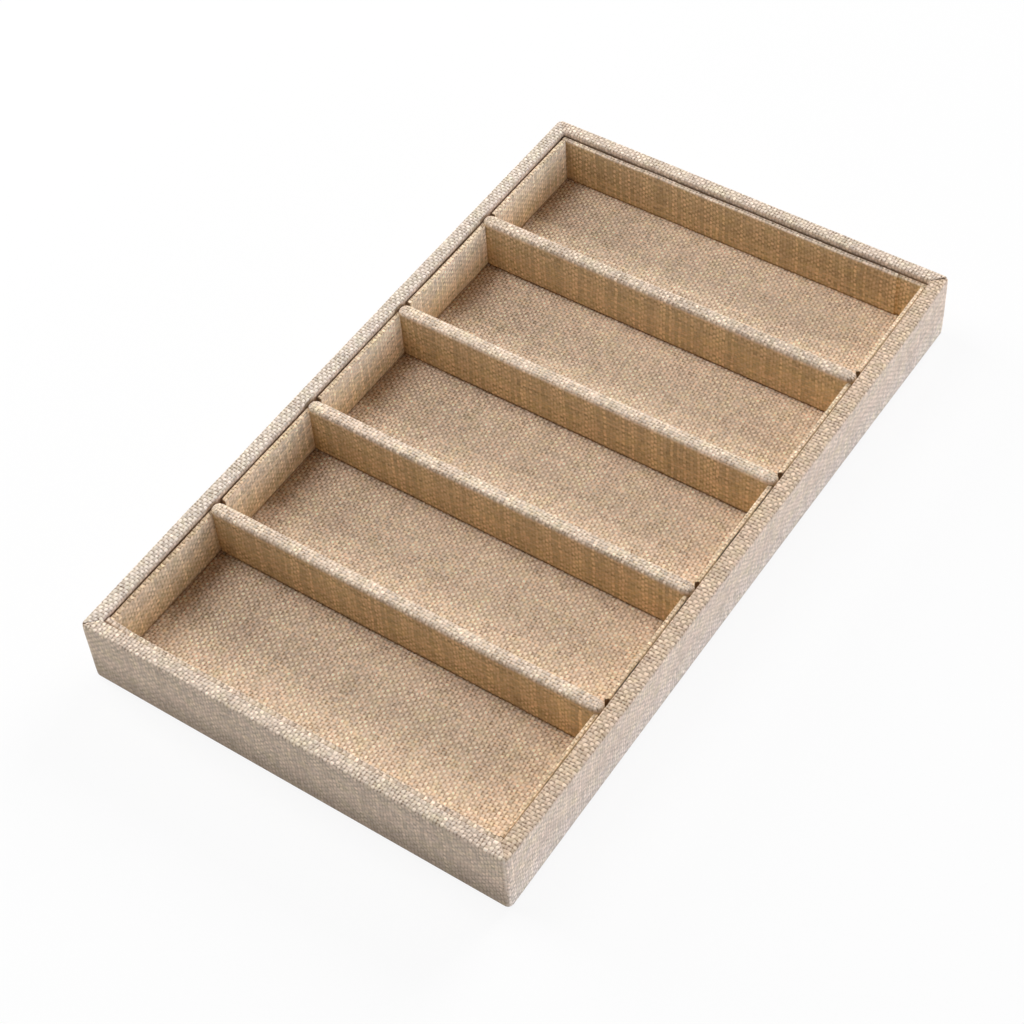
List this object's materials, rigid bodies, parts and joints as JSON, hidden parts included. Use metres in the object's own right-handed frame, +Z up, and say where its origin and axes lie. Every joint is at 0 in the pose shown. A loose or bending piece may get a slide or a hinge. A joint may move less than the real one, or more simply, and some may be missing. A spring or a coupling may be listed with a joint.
{
  "type": "jewelry tray",
  "caption": "Shallow rectangular jewelry tray wrapped in coarse beige linen cloth, with lift-out dividers standing in slots between thin cloth-covered liners.",
  "frame": {"origin": "centre of the underside, on the surface that the tray stands on", "axes": "+Y along the tray to the end that is far in the picture, +X across it to the right, +Z up"},
  "size_m": [0.176, 0.3, 0.03],
  "materials": {
    "linen": "coarse plain-weave linen cloth, matt",
    "board": "raw fibreboard",
    "card": "raw grey card",
    "felt": "thin dark non-woven felt"
  },
  "bodies": {
    "tray": {"side_rail_left": "board", "side_rail_right": "board", "end_rail_front": "board", "end_rail_back": "board", "base_board": "board", "underside_sheet": "felt", "rim_cloth_left": "linen", "rim_cloth_right": "linen", "rim_cloth_front": "linen", "rim_cloth_back": "linen", "floor_card": "card", "floor_cloth": "linen", "end_liner_card_front": "card", "end_liner_cloth_front": "linen", "end_liner_card_back": "card", "end_liner_cloth_back": "linen", "side_liner_card_left_1": "card", "side_liner_cloth_left_1": "linen", "side_liner_card_left_2": "card", "side_liner_cloth_left_2": "linen", "side_liner_card_left_3": "card", "side_liner_cloth_left_3": "linen", "side_liner_card_left_4": "card", "side_liner_cloth_left_4": "linen", "side_liner_card_left_5": "card", "side_liner_cloth_left_5": "linen", "side_liner_card_right_1": "card", "side_liner_cloth_right_1": "linen", "side_liner_card_right_2": "card", "side_liner_cloth_right_2": "linen", "side_liner_card_right_3": "card", "side_liner_cloth_right_3": "linen", "side_liner_card_right_4": "card", "side_liner_cloth_right_4": "linen", "side_liner_card_right_5": "card", "side_liner_cloth_right_5": "linen"},
    "divider_1": {"divider_board_1": "board", "divider_cloth_1": "linen"},
    "divider_2": {"divider_board_2": "board", "divider_cloth_2": "linen"},
    "divider_3": {"divider_board_3": "board", "divider_cloth_3": "linen"},
    "divider_4": {"divider_board_4": "board", "divider_cloth_4": "linen"}
  },
  "joints": [
    {"name": "divider_1_lift", "type": "slide", "parent": "tray", "child": "divider_1", "axis": [0, 0, 1], "range_m": [0, 0.03]},
    {"name": "divider_2_lift", "type": "slide", "parent": "tray", "child": "divider_2", "axis": [0, 0, 1], "range_m": [0, 0.03]},
    {"name": "divider_3_lift", "type": "slide", "parent": "tray", "child": "divider_3", "axis": [0, 0, 1], "range_m": [0, 0.03]},
    {"name": "divider_4_lift", "type": "slide", "parent": "tray", "child": "divider_4", "axis": [0, 0, 1], "range_m": [0, 0.03]}
  ]
}
